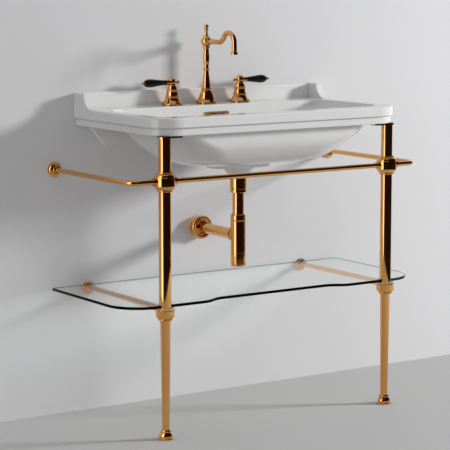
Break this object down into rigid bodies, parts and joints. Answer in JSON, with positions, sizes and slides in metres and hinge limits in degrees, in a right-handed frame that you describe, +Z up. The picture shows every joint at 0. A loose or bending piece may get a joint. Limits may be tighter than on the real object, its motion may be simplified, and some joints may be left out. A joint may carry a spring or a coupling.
{
  "type": "console sink with legs",
  "caption": "Rectangular ceramic console basin on turned metal front legs, with a widespread swan-neck tap, bottle trap, wrap-round towel rail and clear glass shelf",
  "frame": {"origin": "on the floor, midway between the two sides and midway along the depth", "axes": "X runs to the right of someone facing the basin, Y from the front to the wall, Z up"},
  "size_m": [0.993, 0.475, 1.0903],
  "materials": {
    "white_ceramic": "glossy white glaze",
    "polished_brass": "polished warm gold plate",
    "clear_glass": "clear, polished edge",
    "black_ceramic": "glossy black glaze",
    "black_rubber": "matt",
    "clear_plastic": "soft clear",
    "grey_plastic": "matt"
  },
  "bodies": {
    "stand": {"basin": "white_ceramic", "overflow_ring": "polished_brass", "waste_body": "polished_brass", "waste_nut": "polished_brass", "seals": "black_rubber", "trap_inlet_nut": "polished_brass", "trap_inlet_pipe": "polished_brass", "trap_body": "polished_brass", "trap_cup": "polished_brass", "trap_outlet_nut": "polished_brass", "trap_outlet_pipe": "polished_brass", "trap_wall_flange": "polished_brass", "spout_column": "polished_brass", "spout_shank": "polished_brass", "mixer_tee": "polished_brass", "link_pipes": "polished_brass", "deck_gaskets": "black_rubber", "deck_nuts": "polished_brass", "rail_front": "polished_brass", "basin_pads": "black_rubber", "wall_roses": "polished_brass", "glass_shelf": "clear_glass", "shelf_pads": "clear_plastic", "hot_pillar": "polished_brass", "hot_shank": "polished_brass", "hot_cartridge": "polished_brass", "cold_pillar": "polished_brass", "cold_shank": "polished_brass", "cold_cartridge": "polished_brass", "top_plate_left": "polished_brass", "post_upper_left": "polished_brass", "knuckle_left": "polished_brass", "post_middle_left": "polished_brass", "shelf_collar_left": "polished_brass", "leg_left": "polished_brass", "foot_left": "polished_brass", "rail_arm_left": "polished_brass", "shelf_rail_left": "polished_brass", "top_plate_right": "polished_brass", "post_upper_right": "polished_brass", "knuckle_right": "polished_brass", "post_middle_right": "polished_brass", "shelf_collar_right": "polished_brass", "leg_right": "polished_brass", "foot_right": "polished_brass", "rail_arm_right": "polished_brass", "shelf_rail_right": "polished_brass"},
    "hot_lever": {"hot_lever_hub": "polished_brass", "hot_lever_grip": "black_ceramic", "hot_lever_tip": "polished_brass", "hot_lever_cap": "polished_brass"},
    "cold_lever": {"cold_lever_hub": "polished_brass", "cold_lever_grip": "black_ceramic", "cold_lever_tip": "polished_brass", "cold_lever_cap": "polished_brass"},
    "spout": {"spout_swan": "polished_brass", "spout_finial": "polished_brass", "spout_aerator": "grey_plastic"},
    "plug": {"waste_plug": "polished_brass"}
  },
  "joints": [
    {"name": "hot_lever_turn", "type": "hinge", "parent": "stand", "child": "hot_lever", "pos_m": [-0.1165, 0.1605, 0.927], "axis": [0, 0, 1], "range_deg": [0, 90]},
    {"name": "cold_lever_turn", "type": "hinge", "parent": "stand", "child": "cold_lever", "pos_m": [0.1165, 0.1605, 0.927], "axis": [0, 0, 1], "range_deg": [-90, 0]},
    {"name": "spout_swivel", "type": "hinge", "parent": "stand", "child": "spout", "pos_m": [0, 0.1605, 1.0408], "axis": [0, 0, 1], "range_deg": [-90, 90]},
    {"name": "plug_press", "type": "slide", "parent": "stand", "child": "plug", "axis": [0, 0, 1], "range_m": [-0.0087, 0]}
  ]
}
